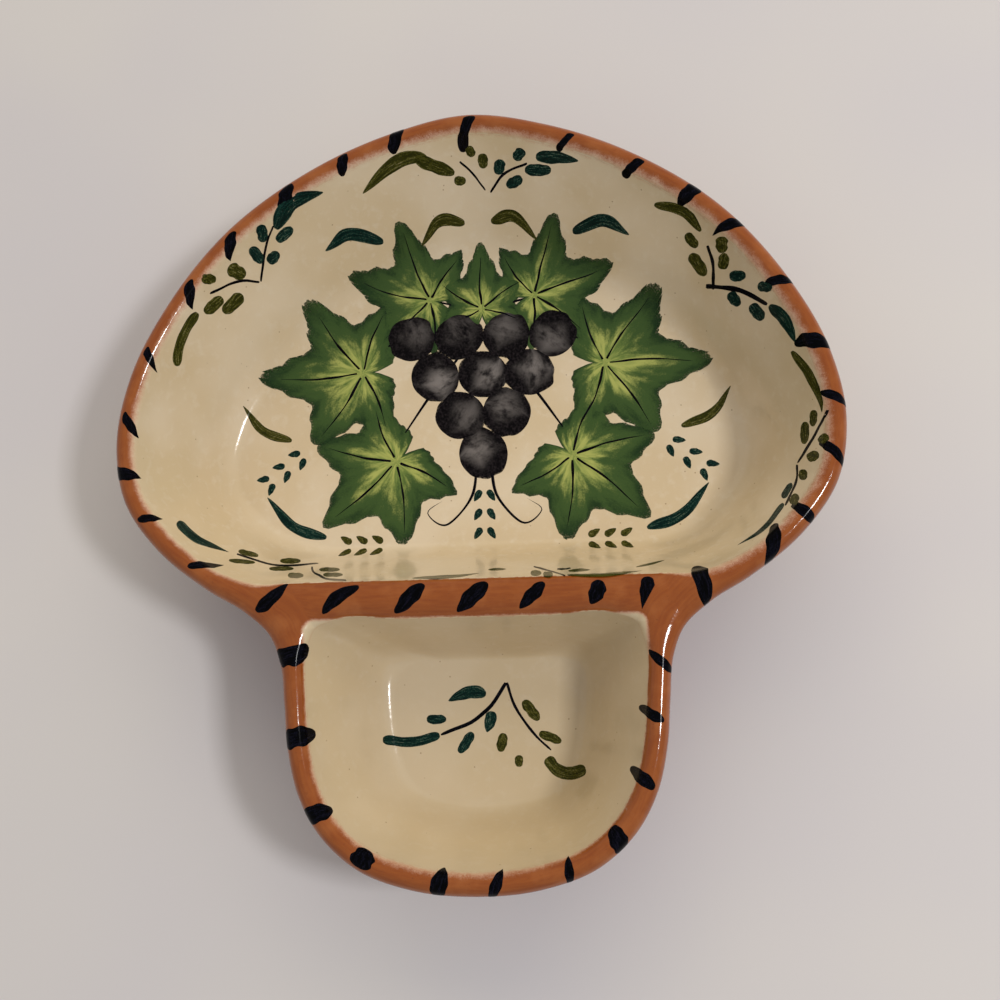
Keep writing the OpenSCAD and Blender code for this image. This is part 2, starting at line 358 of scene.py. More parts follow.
def make_piece(name, sheets, values, sharp=CLAY_SHARP):
    """One closed mesh from sheets that meet at their borders. Points that lie on each other become
    one, and values are kept as numbers on the points."""
    points = np.concatenate([s.reshape(-1, 3) for s in sheets])
    starts = np.cumsum([0] + [s.shape[0] * s.shape[1] for s in sheets[:-1]])
    faces = np.concatenate([grid_faces(*s.shape[:2]) + start for s, start in zip(sheets, starts)])
    mesh = bpy.data.meshes.new(name)
    mesh.from_pydata(points.astype(np.float32), [], faces.tolist())
    for key, parts in values.items():
        flat = np.concatenate([np.asarray(p, float).ravel() for p in parts]).astype(np.float32)
        kind, field = ("FLOAT_VECTOR", "vector") if len(flat) == 3 * len(points) else ("FLOAT", "value")
        mesh.attributes.new(key, kind, "POINT").data.foreach_set(field, flat)
    work = bmesh.new()
    work.from_mesh(mesh)
    bmesh.ops.remove_doubles(work, verts=work.verts, dist=SAME_PLACE)
    bmesh.ops.dissolve_degenerate(work, edges=work.edges, dist=NO_LENGTH)
    bmesh.ops.recalc_face_normals(work, faces=work.faces)
    work.to_mesh(mesh)
    work.free()
    mesh.shade_smooth()
    glazed = mesh.attributes.get(GLAZE_TURN)
    if glazed:
        turns = np.empty(3 * len(mesh.vertices), np.float32)
        glazed.data.foreach_get("vector", turns)
        mesh.attributes.remove(glazed)
        mesh.normals_split_custom_set_from_vertices(turns.reshape(-1, 3).tolist())
    else:
        mesh.set_sharp_from_angle(angle=np.radians(sharp))
    return put_in_scene(name, mesh)


# Laying paint on the dish

# Step of the tables of heights, how far they reach past a well's edge, places worked out at a time,
# and halvings of a sight line
MAP_STEP = 0.5 * MM
MAP_MARGIN = 4 * MAP_STEP
MAP_PART = 3000
HALVINGS = 14
# A place that lies farther out than this share of a spoke is no longer beside it
OUT_SHARE = -1.5
# A place in a table keeps this far below its size, so that its cell has a next one
LAST_CELL = 1.001
SIGHT = np.array(CAMERA_TURN.to_matrix())
SIGHT_FROM = np.array(CAMERA_AT)
FOCAL_PX = LENS / SENSOR * FRAME_PX


def sight_lines(image):
    """How far in plan the sight lines through image points go for each unit of height."""
    x, y = image[:, 0] - FRAME_PX / 2, FRAME_PX / 2 - image[:, 1]
    away = np.c_[x, y, np.full(len(image), -FOCAL_PX)] @ SIGHT.T
    return away[:, :2] / away[:, 2:]


def in_image(points):
    """Image points of points in space."""
    local = (points - SIGHT_FROM) @ SIGHT
    px = FOCAL_PX * local[..., :2] / -local[..., 2:]
    return np.stack([FRAME_PX / 2 + px[..., 0], FRAME_PX / 2 - px[..., 1]], -1)


def read_table(table, place):
    """Values of a table at rows and columns with fractions: its four values round each place, weighted
    by how near they are."""
    place = np.clip(place, 0, np.array(table.shape[:2]) - LAST_CELL)
    i, j = place.astype(int).T
    u, v = (place - place.astype(int)).T.reshape((2, -1) + (1,) * (table.ndim - 2))
    near = table[i, j] * (1 - v) + table[i, j + 1] * v
    far = table[i + 1, j] * (1 - v) + table[i + 1, j + 1] * v
    return near * (1 - u) + far * u


class Well:
    """The slip of one well and the roll round it, as a table of heights on a square grid in plan."""

    def __init__(self, edge, floor, floor_z):
        self.edge, self.run, self.floor_z = edge, floor - edge, floor_z
        self.low = edge.min(0) - MAP_MARGIN
        size = ((edge.max(0) + MAP_MARGIN - self.low) / MAP_STEP).astype(int)
        grid = np.stack(np.meshgrid(*map(np.arange, size), indexing="ij"), -1)
        plan = self.low + grid.reshape(-1, 2) * MAP_STEP
        parts = np.array_split(plan, len(plan) // MAP_PART + 1)
        share = np.concatenate([self.share(part) for part in parts])
        gaps = [np.linalg.norm(part[:, None] - edge, axis=-1).min(1) for part in parts]
        out = np.concatenate(gaps) / RIM_W
        over = roll_height(np.clip(np.maximum(out, 1 - out), 0, 1))
        self.table = np.where(share < 0, over, well_height(np.maximum(share, 0), floor_z)).reshape(size)

    def share(self, plan):
        """How far down the wall points in plan lie. A spoke runs from each edge point to its floor point.
        A point lies between two spokes where its cross products with them differ in sign, and its share
        is its projection on both, weighted by those products."""
        away = plan[:, None] - self.edge
        cross = self.run[:, 0] * away[..., 1] - self.run[:, 1] * away[..., 0]
        along = (away * self.run).sum(-1) / (self.run ** 2).sum(-1)
        cross_next, along_next = np.roll(cross, -1, 1), np.roll(along, -1, 1)
        mix = cross / np.where(cross == cross_next, 1, cross - cross_next)
        found = along + (along_next - along) * mix
        between = (cross * cross_next <= 0) & (cross != cross_next) & (found > OUT_SHARE)
        return np.minimum(np.where(between, found, FLOOR_SHARE).min(1), FLOOR_SHARE)

    def height(self, plan):
        """Height of the slip under points in plan."""
        return read_table(self.table, (plan - self.low) / MAP_STEP)

    def lay(self, image):
        """Points of the slip that image points see, and its normals there. A sight line is halved between
        the rim's height and the floor's until it meets the slip."""
        slope = sight_lines(image)
        high = np.full(len(image), DISH_H)
        low = np.full(len(image), self.floor_z - MM)
        for _ in range(HALVINGS):
            middle = (high + low) / 2
            above = middle > self.height(SIGHT_FROM[:2] + slope * (middle - SIGHT_FROM[2])[:, None])
            high, low = np.where(above, middle, high), np.where(above, low, middle)
        return self.drop(SIGHT_FROM[:2] + slope * (high - SIGHT_FROM[2])[:, None])

    def drop(self, plan):
        """Points of the slip straight below points in plan, and its normals there."""
        steps = np.array(((MAP_STEP, 0), (0, MAP_STEP)))
        rise = [(self.height(plan + step) - self.height(plan - step)) / (2 * MAP_STEP) for step in steps]
        normal = np.stack([-rise[0], -rise[1], np.ones(len(plan))], -1)
        return np.c_[plan, self.height(plan)], unit(normal)


class Roll:
    """A stretch of the rim as a table of points: rows over it, columns along it. Image points are looked
    up only from its first row seen on, since the rows before it lie under the rim's outer side."""

    def __init__(self, rows, first_seen=0):
        self.rows, self.first_seen = rows, first_seen
        self.across = np.linalg.norm(np.diff(rows, axis=0), axis=-1).mean()
        self.along = np.linalg.norm(np.diff(rows, axis=1), axis=-1).mean(0)
        self.image = in_image(rows)
        turn = np.cross(np.gradient(rows, axis=0), np.gradient(rows, axis=1))
        self.turn = unit(turn) * np.sign(turn[len(rows) // 2, :, 2].mean())

    def nearest(self, image):
        """Row and column of the table's point next to each image point."""
        gap = np.linalg.norm(self.image - np.asarray(image, float)[:, None, None], axis=-1)
        gap[:, :self.first_seen] = np.inf
        found = gap.reshape(len(gap), -1).argmin(1)
        return np.stack(np.unravel_index(found, self.rows.shape[:2]), -1).astype(float)

    def lay(self, place):
        """Points of the table at rows and columns with fractions, and its normals there."""
        return read_table(self.rows, place), unit(read_table(self.turn, place))


# Strokes

# Places worked out between two points of a stroke's line
LINE_STEPS = 17


def spline(points, shares):
    """Points at shares of the length of a curve through the given ones: cubics that keep the direction
    from each point's neighbour to its other one."""
    line = np.asarray(points, float)
    line = np.vstack([2 * line[0] - line[1], line, 2 * line[-1] - line[-2]])
    t = np.linspace(0, 1, LINE_STEPS)[None, :, None]
    before, start, end, after = (line[k:len(line) - 3 + k, None] for k in range(4))
    bend = 2 * before - 5 * start + 4 * end - after
    twist = 3 * start - before - 3 * end + after
    fine = ((2 * start + (end - before) * t + bend * t ** 2 + twist * t ** 3) / 2).reshape(-1, 2)
    length = row_lengths(fine)
    return np.stack([np.interp(shares * length[-1], length, fine[:, k]) for k in (0, 1)], -1)


def brush_width(t, head, tail, taper):
    """Share of a stroke's full width at shares of its length: an ellipse over its head, and over its
    tail 1 less the square of the share of the tail, to the power of the taper."""
    start = np.sqrt(np.clip(1 - (1 - t / head) ** 2, 0, 1))
    end = np.clip(1 - np.clip((t - 1 + tail) / tail, 0, 1) ** 2, 0, 1)
    return np.where(t < head, start, 1) * end ** taper


# Head and tail of each shape of stroke as shares of its length, and its taper
STROKES = {
    "blunt": (0.14, 0.14, 0.5),
    "dab": (0.3, 0.42, 0.5),
    "pointed": (0.2, 0.5, 1),
    "drop": (0.4, 0.6, 0.7),
    "both": (0.5, 0.5, 1),
    "oval": (0.5, 0.5, 0.5),
    "tapered": (0.12, 0.88, 1),
    "comma": (0.3, 0.7, 0.8),
    "line": (0.04, 0.10, 0.5),
    "drawn": (0.05, 0.9, 1),
}


# How much wider a mark is laid than it looks, as its edges fade
SPREAD_SHARE = 1.14
# How far a mark's edges lie below the glaze, how much higher a mark lies for each sheet before it, and
# the number of sheets after which that starts again
SINK = -0.01 * MM
LAYER = 0.001 * MM
LAYERS = 16
# Power that keeps a mark's top flat up to its edges
FLAT_POWER = 8
# How fast the sines turn, in radians a stroke, that a stroke's edges waver by
WAVER_TURNS = (5, 11.5, 18.5)
# A vine leaf: lobes on each side of its tip and the turn from one to the next, power of their points,
# shares of its length at the notches, lost towards the back and lost at the stalk, teeth and their depth
LOBES_BESIDE = 2
LOBE_TURN = np.radians(55)
LOBE_POWER = 1.3
NOTCH_SHARE = 0.62
BACK_SHARE = 0.5
BACK_POWER = 1.2
STALK_SHARE = 0.7
TEETH = 31
TEETH_SHARE = 0.025
# Range of the seeds that make each leaf's streaks its own
SEEDS = 6


def lobe_length(turn):
    """Share of a leaf's length at a turn away from its tip: it falls with a power of the turn."""
    return 1 - BACK_SHARE * (np.abs(turn) / np.pi) ** BACK_POWER


class Marks:
    """Brush marks of one colour: thin lenses on the dish that become one piece. They swell by a lift in
    mm, and their edges waver by a ragged share of their width."""

    def __init__(self, name, lift, ragged=0.06, columns=7):
        self.name, self.lift, self.ragged, self.columns = name, lift * MM, ragged, columns
        self.sheets, self.values = [], {"lengthwise": [], "sideways": [], "seed": [], GLAZE_TURN: []}
        self.random = np.random.default_rng(len(name))

    def add(self, lay, points, width, shape="blunt", scale=(1, 1), rows=22):
        """A stroke along points in image px, or in a table's rows and columns scaled to metres. Its
        half width wavers by a few sines, and it swells by the lift between edges sunk below the glaze."""
        t = (1 - np.cos(np.linspace(0, np.pi, rows))) / 2
        line = spline(np.asarray(points, float) * scale, t)
        beside = left_of(unit(np.gradient(line, axis=0)))
        side = np.sin(np.linspace(-np.pi / 2, np.pi / 2, self.columns))
        waves = self.random.uniform(0, 2 * np.pi, (2, len(WAVER_TURNS)))
        waver = [1 + self.ragged * sum(np.sin(t * k + w) for k, w in zip(WAVER_TURNS, row)) for row in waves]
        half = width * SPREAD_SHARE / 2 * brush_width(t, *STROKES[shape])
        reach = np.where(side < 0, np.outer(waver[0], side), np.outer(waver[1], side)) * half[:, None]
        flat = (line[:, None] + beside[:, None] * reach[..., None]) / scale
        swell = np.outer(1 - (2 * t - 1) ** FLAT_POWER, 1 - side ** FLAT_POWER)
        self.keep(lay, flat, swell, t[:, None], side, waves[0, 0])

    def keep(self, lay, flat, swell, lengthwise, sideways, seed):
        """Lays a grid of points and keeps its upper and lower sheet. Marks that follow each other lie at
        different heights, so that they may cross."""
        point, normal = (part.reshape(flat.shape[:2] + (3,)) for part in lay(flat.reshape(-1, 2)))
        rise = self.lift + len(self.sheets) % LAYERS * LAYER
        upper = SINK + (rise - SINK) * swell
        lower = SINK + SINK * swell
        for height, side in ((upper, 1), (lower, np.where(swell > 0, -1, 1))):
            self.sheets.append(point + normal * height[..., None])
            for key, value in zip(self.values, (lengthwise, sideways, seed)):
                self.values[key].append(np.broadcast_to(value, flat.shape[:2]))
            self.values[GLAZE_TURN].append(normal * np.broadcast_to(side, flat.shape[:2])[..., None])

    def dot(self, lay, centre, length, width, direction, shape="oval", rows=24):
        """A short stroke round its centre, along a direction."""
        reach = unit(np.array(direction)) * length / 2
        self.add(lay, [centre - reach, centre, centre + reach], width, shape, rows=rows)

    def vine_leaf(self, lay, base, tip, rows=32, columns=121):
        """A leaf with five pointed lobes: rows go out from its base, columns turn round it. Its edge lies
        at the leaf's length times a zigzag with a peak at each lobe, which shrinks away from the tip and
        closes in at the stalk."""
        out = np.sin(np.linspace(0, np.pi / 2, rows))[:, None]
        turn = np.linspace(-np.pi, np.pi, columns)
        lobe = np.abs(turn) / LOBE_TURN
        peak = 1 - 2 * np.abs(lobe - np.round(lobe))
        last = (LOBES_BESIDE + 0.5) * LOBE_TURN
        stalk = np.clip((np.abs(turn) - last) / (np.pi - last), 0, 1)
        teeth = 1 + TEETH_SHARE * np.sin(np.abs(turn) * TEETH)
        zigzag = NOTCH_SHARE + (1 - NOTCH_SHARE) * peak ** LOBE_POWER
        edge = zigzag * lobe_length(turn) * (1 - STALK_SHARE * stalk) * teeth
        flat = base + (edge * out)[..., None] * turned(tip - base, turn)
        swell = (1 - out ** FLAT_POWER) * np.ones(columns)
        self.keep(lay, flat, swell, turn / (2 * np.pi), out, self.random.uniform(0, SEEDS))

    def make(self):
        """The marks as one piece."""
        return make_piece(self.name, self.sheets, self.values)


# Clay

# The roll over the cap's rim, round the stem and along the divider, and the faces of the wells
OVER_RIM = roll_strip(ROLL_OUTER[:CAP_END + 1], closed(CAP_EDGE)[:CAP_END + 1])
ROUND_STEM = roll_strip(closed(ROLL_OUTER)[CAP_END:], STEM_EDGE[:STEM_END + 1])
ALONG_DIVIDER = roll_strip(closed(CAP_EDGE)[CAP_END:], closed(STEM_EDGE)[STEM_END:][::-1])
OUTER = outer_sheet()
CAP_FACE = well_sheet(CAP_EDGE, CAP_FLOOR, CAP_FLOOR_Z, 0, WALL_STEPS)
STEM_FACE = well_sheet(STEM_EDGE, STEM_FLOOR, STEM_FLOOR_Z, 0, WALL_STEPS)
CAP_BACK = well_sheet(CAP_EDGE, CAP_FLOOR, CAP_FLOOR_Z, SLIP_T, WALL_STEPS)
STEM_BACK = well_sheet(STEM_EDGE, STEM_FLOOR, STEM_FLOOR_Z, SLIP_T, WALL_STEPS)
# Rows of the outer wall and of the wells that the rim's tables take in
UNDER_ROWS = 8
INNER_ROWS = 9

# Length in mm round the rim
RIM_LENGTH = row_lengths(closed(RIM)) / MM
# Girth of the cylinder that the brush's streaks are placed on, as a share of the rim's length
STREAK_SHARE = 0.12

# Width in mm over which the slip's edge feathers out, by the place along the cap's rim and the stem's
FEATHER_PLACES = np.array((0, 0.05, 0.35, 0.5, 0.93, 1))
CAP_PLACES = np.linspace(0, 1, CAP_END + 1)
STEM_PLACES = np.linspace(0, 1, STEM_END + 1)
CAP_FEATHER = np.interp(CAP_PLACES, FEATHER_PLACES, (0.5, 0.9, 1.4, 1.7, 2.2, 0.5))
STEM_FEATHER = np.interp(STEM_PLACES, FEATHER_PLACES, (0.5, 0.6, 0.9, 1.7, 0.7, 0.5))
DIVIDER_FEATHER = 0.5
# Length in mm by which the slip runs out over the roll
CAP_REACH = np.interp(CAP_PLACES, FEATHER_PLACES, (0, 1.2, 1.6, 0.3, 0.9, 0))
STEM_REACH = np.interp(STEM_PLACES, FEATHER_PLACES, (0, 0, 0, 0.6, 0, 0))
# Corners of the slip beside the divider are tighter than those of the stem's well
SLIP_CORNER = 3 * MM
# How far down the stem, in corners of its well, those corners hold
CORNERS_DOWN = 1.6
# Depth in mm that is clear of the slip's edge on either side
CLEAR = 8


def stem_slip_depth(sheet):
    """How far points beside the divider lie inside the slip's own outline there, in mm: a box with the
    stem well's width, its corners rounded by the slip's corner."""
    side = STEM_EDGE[:, 0].max()
    out = np.stack([np.abs(sheet[..., 0]) - side, sheet[..., 1] - STEM_EDGE_Y], -1) + SLIP_CORNER
    apart = np.linalg.norm(np.maximum(out, 0), axis=-1) + np.minimum(out.max(-1), 0) - SLIP_CORNER
    return np.where(sheet[..., 1] > STEM_EDGE_Y - CORNERS_DOWN * STEM_CORNER, -apart / MM, -CLEAR)


def brushed(around, across):
    """Place for the brush's streaks: on a cylinder whose girth is a share of the rim's length, so that
    they run along the rim and close."""
    radius = RIM_LENGTH[-1] / (2 * np.pi) * STREAK_SHARE
    angle = np.broadcast_to(around, across.shape) / RIM_LENGTH[-1] * 2 * np.pi
    return np.stack([radius * np.cos(angle), radius * np.sin(angle), across], -1)


def make_clay():
    """The clay body: the roll round both wells and along the divider, the corners where these meet, the
    outer wall with the foot, and the wells behind the slip. Each sheet has its depth in the slip."""
    sheets, slip, feather, streaks = [], [], [], []

    def add(sheet, to_slip, width, around, across):
        sheets.append(sheet)
        slip.append(np.broadcast_to(to_slip, sheet.shape[:2]))
        feather.append(np.broadcast_to(width, sheet.shape[:2]))
        streaks.append(brushed(around, across))

    across = row_lengths(OVER_RIM) / MM
    add(OVER_RIM, across - across[-1] + CAP_REACH, CAP_FEATHER, RIM_LENGTH[:CAP_END + 1], across)
    across = row_lengths(ROUND_STEM) / MM
    depth = np.maximum(across - across[-1] + STEM_REACH, stem_slip_depth(ROUND_STEM))
    add(ROUND_STEM, depth, STEM_FEATHER, RIM_LENGTH[CAP_END:], across)
    across = row_lengths(ALONG_DIVIDER) / MM
    around = RIM_LENGTH[CAP_END] + (ALONG_DIVIDER[0, :1, 0] - ALONG_DIVIDER[0, :, 0]) / MM
    depth = np.maximum(-np.minimum(across, across[-1] - across), stem_slip_depth(ALONG_DIVIDER))
    add(ALONG_DIVIDER, depth, DIVIDER_FEATHER, around, across)
    for rim_at, cap_at, stem_at in ((CAP_END, CAP_END, 0), (0, 0, STEM_END)):
        corner = roll_corner(ROLL_OUTER[rim_at], CAP_EDGE[cap_at], STEM_EDGE[stem_at])
        across = row_lengths(corner) / MM
        gaps = [np.linalg.norm(corner - corner[-1, k], axis=-1) / MM for k in (0, -1)]
        depth = np.maximum(-np.minimum(*gaps), stem_slip_depth(corner))
        add(corner, depth, DIVIDER_FEATHER, RIM_LENGTH[rim_at], across)
    add(OUTER, -CLEAR, 1, RIM_LENGTH, -row_lengths(OUTER) / MM)
    for back in (CAP_BACK, STEM_BACK):
        add(back, CLEAR, 1, 0, row_lengths(back) / MM)
    return make_piece("clay_body", sheets, {"to_slip": slip, "feather": feather, "streaks": streaks})


def make_slip(name, face, back, feather, reach):
    """A well's slip: its face and its back, joined at the edge."""
    width, run_out = np.full(face.shape[1], DIVIDER_FEATHER), np.zeros(face.shape[1])
    width[:len(feather)], run_out[:len(reach)] = feather, reach
    values = {
        "to_slip": [row_lengths(sheet) / MM + run_out for sheet in (face, back)],
        "feather": [np.broadcast_to(width, sheet.shape[:2]) for sheet in (face, back)],
    }
    return make_piece(name, [face, back], values, SLIP_SHARP)


# Finishes

# Power between the tones that a screen shows and the light that they give
SCREEN_POWER = 2.2
GLAZE_ROUGHNESS = 0.12


def colour(red, green, blue):
    """A colour from its red, green and blue out of 255, as a screen shows them."""
    return tuple((c / 255) ** SCREEN_POWER for c in (red, green, blue)) + (1,)


class Value:
    """A socket in a finish. Each sum written with it adds a Math node."""

    def __init__(self, finish, socket):
        self.finish, self.socket = finish, socket

    def math(self, operation, *others):
        """The result of a Math node."""
        places = dict(enumerate((self,) + others))
        return self.finish.node("ShaderNodeMath", {"operation": operation}, places)

    def __add__(self, other):
        return self.math("ADD", other)

    def __mul__(self, other):
        return self.math("MULTIPLY", other)

    def __sub__(self, other):
        return self.math("SUBTRACT", other)

    def __truediv__(self, other):
        return self.math("DIVIDE", other)

    def __rsub__(self, other):
        return self * -1 + other

    __radd__ = __add__
    __rmul__ = __mul__

    def size(self):
        """The value without its sign."""
        return self.math("ABSOLUTE")

    def ease(self, low, high):
        """0 below low, 1 above high and a smooth step between."""
        places = {"Value": self, "From Min": low, "From Max": high}
        return self.finish.node("ShaderNodeMapRange", {"interpolation_type": "SMOOTHSTEP"}, places)


class Finish:
    """A material, with the nodes that vary its colour, gloss and surface."""

    def __init__(self, name, roughness=GLAZE_ROUGHNESS):
        self.material = bpy.data.materials.new(name)
        self.material.use_nodes = True
        self.tree = self.material.node_tree
        self.shader = self.tree.nodes["Principled BSDF"]
        self.shader.inputs["Roughness"].default_value = roughness
        self.place = self.node("ShaderNodeTexCoord", output="Object")

    def node(self, kind, settings=None, inputs=None, output=0):
        """A new node with its settings and the values or links of its sockets."""
        made = self.tree.nodes.new(kind)
        for name, value in (settings or {}).items():
            setattr(made, name, value)
        for place, value in (inputs or {}).items():
            if isinstance(value, Value):
                self.tree.links.new(value.socket, made.inputs[place])
            else:
                made.inputs[place].default_value = value
        return Value(self, made.outputs[output])

    def point(self, name, output="Fac"):
        """A value kept on the piece's points."""
        return self.node("ShaderNodeAttribute", {"attribute_name": name}, output=output)

    def noise(self, place, scale, detail=3, roughness=0.55):
        """Soft random patches, as many to a unit of the place as the scale says."""
        inputs = {"Vector": place, "Scale": scale, "Detail": detail, "Roughness": roughness}
        return self.node("ShaderNodeTexNoise", inputs=inputs)

    def mix(self, first, second, share):
        """The first colour, or the second where the share is 1. Sockets 6 and 7 of the node take colours,
        and its output 2 gives one."""
        return self.node("ShaderNodeMix", {"data_type": "RGBA"}, {0: share, 6: first, 7: second}, 2)

    def in_mm(self):
        """The place on the dish in mm."""
        factors = (1 / MM, 1 / MM, 1 / MM)
        return self.node("ShaderNodeVectorMath", {"operation": "MULTIPLY"}, {0: self.place, 1: factors})

    def axis(self, number):
        """One coordinate of the place on the dish, in metres."""
        return self.node("ShaderNodeSeparateXYZ", inputs={0: self.place}, output=number)

    def set(self, name, value):
        """Links a value to a socket of the shader."""
        self.tree.links.new(value.socket, self.shader.inputs[name])

    def bump(self, height, distance, strength):
        """Turns the surface's direction by a height."""
        inputs = {"Strength": strength, "Distance": distance, "Height": height}
        self.set("Normal", self.node("ShaderNodeBump", inputs=inputs))


# Length over which the slip's darker tone in the stem goes over into the cap's, and depth of the glaze's
# waves
BLEND = 4 * MM
GLAZE_WAVE = 1.2 * MM


def ware(name):
    """Terracotta and cream under one clear glaze: the slip feathers out over the clay at its edge."""
    f = Finish(name)
    mm = f.in_mm()
    streaks = f.point("streaks", "Vector")
    fine, soft, broad = f.noise(mm, 1.6), f.noise(mm, 0.35), f.noise(mm, 0.03, 2)
    streak = f.noise(streaks, 1.1, 4, 0.62)
    clay = f.mix(colour(148, 80, 31), colour(132, 66, 23), streak.ease(0.2, 0.8))
    # Paler clouds and dark pores in the clay
    clay = f.mix(clay, colour(168, 101, 53), f.noise(mm, 0.12, 3).ease(0.45, 0.75) * 0.45)
    clay = f.mix(clay, colour(92, 48, 24), fine.ease(0.62, 0.8) * 0.5)
    # Slip that goes from cream to buff in patches, is darker in the stem and has brown specks
    slip = f.mix(colour(219, 201, 173), colour(210, 189, 155), broad.ease(0.35, 0.65))
    slip = f.mix(slip, colour(225, 211, 189), soft.ease(0.5, 0.75) * 0.35)
    in_stem = 1 - f.axis(1).ease(DIVIDER_Y - BLEND, DIVIDER_Y + BLEND)
    slip = f.mix(slip, colour(192, 174, 142), in_stem * 0.5)
    specks = f.node("ShaderNodeTexVoronoi", {"feature": "F1"}, {"Vector": mm, "Scale": 0.22}, "Distance")
    slip = f.mix(slip, colour(120, 84, 56), (1 - specks.ease(0.03, 0.07)) * 0.55)
    # The slip covers the clay inside its edge, which is ragged and has a warm halo
    grain = f.noise(mm, 3.5, 2)
    ragged = (fine - 0.5) * 0.9 + (soft - 0.5) * 1.3 + (grain - 0.5) * 1.1
    cover = f.point("to_slip") / f.point("feather") + ragged
    clay = f.mix(clay, colour(196, 150, 124), cover.ease(-1.6, -0.1))
    f.set("Base Color", f.mix(clay, slip, cover.ease(-0.9, 0.9)))
    f.bump(broad + soft * 0.12 + fine * 0.012, GLAZE_WAVE, 0.35)
    # The face of the foot is bare of glaze
    bare = 1 - f.axis(2).ease(FOOT_RECESS / 3, FOOT_RECESS)
    f.set("Roughness", bare * 0.6 + 0.1 + cover.ease(-1, 1) * 0.05)
    return f.material


# Refraction of the paints, which show less of the glaze's veil than the pale slip does
PAINT_IOR = 1.15


def brushed_paint(name):
    """A paint's material, the place in mm, and a stroke's values: lengthwise, sideways and its seed."""
    f = Finish(name)
    f.shader.inputs["IOR"].default_value = PAINT_IOR
    return f, f.in_mm(), f.point("lengthwise"), f.point("sideways"), f.point("seed")


def paint(name, dark, light, thin, streaky=0.5):
    """Brushed underglaze paint: streaks along the stroke between two tones, thinner towards its edges
    and where a streak is light."""
    f, mm, along, side, seed = brushed_paint(name)
    place = f.node("ShaderNodeCombineXYZ", inputs={0: along * 1.6, 1: side * 2.4, 2: seed * 7})
    streak, grain = f.noise(place, 2.2, 4, 0.6), f.noise(mm, 2.2, 3)
    tone = streak + (grain - 0.5) * 0.5
    f.set("Base Color", f.mix(dark, light, tone.ease(0.42, 0.75)))
    edge = side.size() + (grain - 0.5) * 0.5
    solid = 1 - edge.ease(0.95, 1.15) * 0.8
    f.set("Alpha", solid * (1 - tone.ease(0.5, 0.85) * streaky) * (1 - thin))
    return f.material


def leaf_paint():
    """Leaf green that goes from lime at the stalk to a dark edge, in streaks that run out from the stalk."""
    f, mm, around, out, seed = brushed_paint("leaf_paint")
    place = f.node("ShaderNodeCombineXYZ", inputs={0: around * 14, 1: out * 1.6, 2: seed * 7})
    streak, grain = f.noise(place, 1.6, 4, 0.6), f.noise(mm, 2.0, 3)
    light = f.mix(colour(172, 178, 100), colour(112, 132, 70), streak.ease(0.35, 0.65))
    edge = out + (streak - 0.5) * 0.9 + (grain - 0.5) * 0.3
    green = f.mix(light, colour(66, 88, 50), edge.ease(0.22, 0.66))
    green = f.mix(green, colour(32, 52, 34), edge.ease(0.7, 1.05) * 0.85)
    f.set("Base Color", green)
    f.set("Alpha", (1 - (out + (grain - 0.5) * 0.3).ease(0.92, 1.08) * 0.8) * 0.95)
    return f.material


def grape_paint():
    """Black thinned to grey in clouds, with a lighter place on each grape."""
    f, mm, along, side, seed = brushed_paint("grape_paint")
    place = f.node("ShaderNodeCombineXYZ", inputs={0: along * 1.2, 1: side * 1.0, 2: seed * 5})
    cloud, grain = f.noise(place, 2.2, 5, 0.62), f.noise(mm, 1.6, 3)
    off = (side - 0.25).size() + (along - 0.4).size() * 1.6
    shine = (1 - off.ease(0.1, 1.15)) * cloud.ease(0.3, 0.62)
    body = f.mix(colour(16, 14, 16), colour(40, 36, 38), grain.ease(0.4, 0.7))
    f.set("Base Color", f.mix(body, colour(128, 122, 120), shine * (0.25 + seed * 0.12)))
    f.set("Alpha", 1 - (side.size() + (grain - 0.5) * 0.3).ease(0.9, 1.06) * 0.7)
    return f.material


# Marks that the photograph shows on rim and walls, in image points

# Rim dashes: outer end, inner end, width, shape
CAP_DASHES = [
    ((344, 154), (341, 178), 11, "dab"), ((289, 184), (287, 213), 15.5, "dab"),
    ((231, 232), (232, 260.5), 13, "pointed"), ((189.5, 280), (193, 311), 13, "pointed"),
    ((144.8, 349.8), (158, 373), 10, "tapered"), ((123.4, 413.2), (138.6, 437.3), 11, "pointed"),
    ((117.5, 472), (141, 477.5), 12, "pointed"), ((136.5, 520), (162.7, 518.5), 9, "both"),
    ((187.7, 567.7), (224, 566), 11, "both"), ((255.5, 610.5), (290.4, 584.6), 13, "oval"),
    ((706, 604), (695, 566), 12, "oval"), ((766, 566), (773, 525), 15, "dab"),
    ((810.7, 520.7), (791, 506), 10, "oval"), ((840.9, 463), (819.3, 443.2), 10, "oval"),
    ((844.3, 404.5), (820.2, 393.3), 9, "oval"), ((829.4, 349), (795.8, 345.6), 13, "oval"),
    ((793.2, 283.6), (764, 284.5), 9, "oval"), ((744.1, 227.6), (711.4, 237), 11, "pointed"),
    ((697.6, 189.7), (676, 207.8), 14, "oval"), ((641.7, 158.7), (625, 178.6), 9, "blunt"),
    ((573.7, 134.3), (557.3, 151.5), 7, "blunt"), ((470, 115), (460.5, 154), 10.5, "blunt"),
    ((401.5, 131), (393.5, 155), 13, "dab"),
]
DIVIDER_DASHES = [
    ((360, 586), (322, 612.5), 17, "drop"), ((424.5, 584), (396.5, 613), 16, "drop"),
    ((488, 582), (456.5, 611.5), 15, "drop"), ((542.5, 582), (521, 608), 11, "drop"),
    ((601, 579.5), (589, 604), 12, "drop"), ((646.5, 577), (647.5, 612), 10, "both"),
]
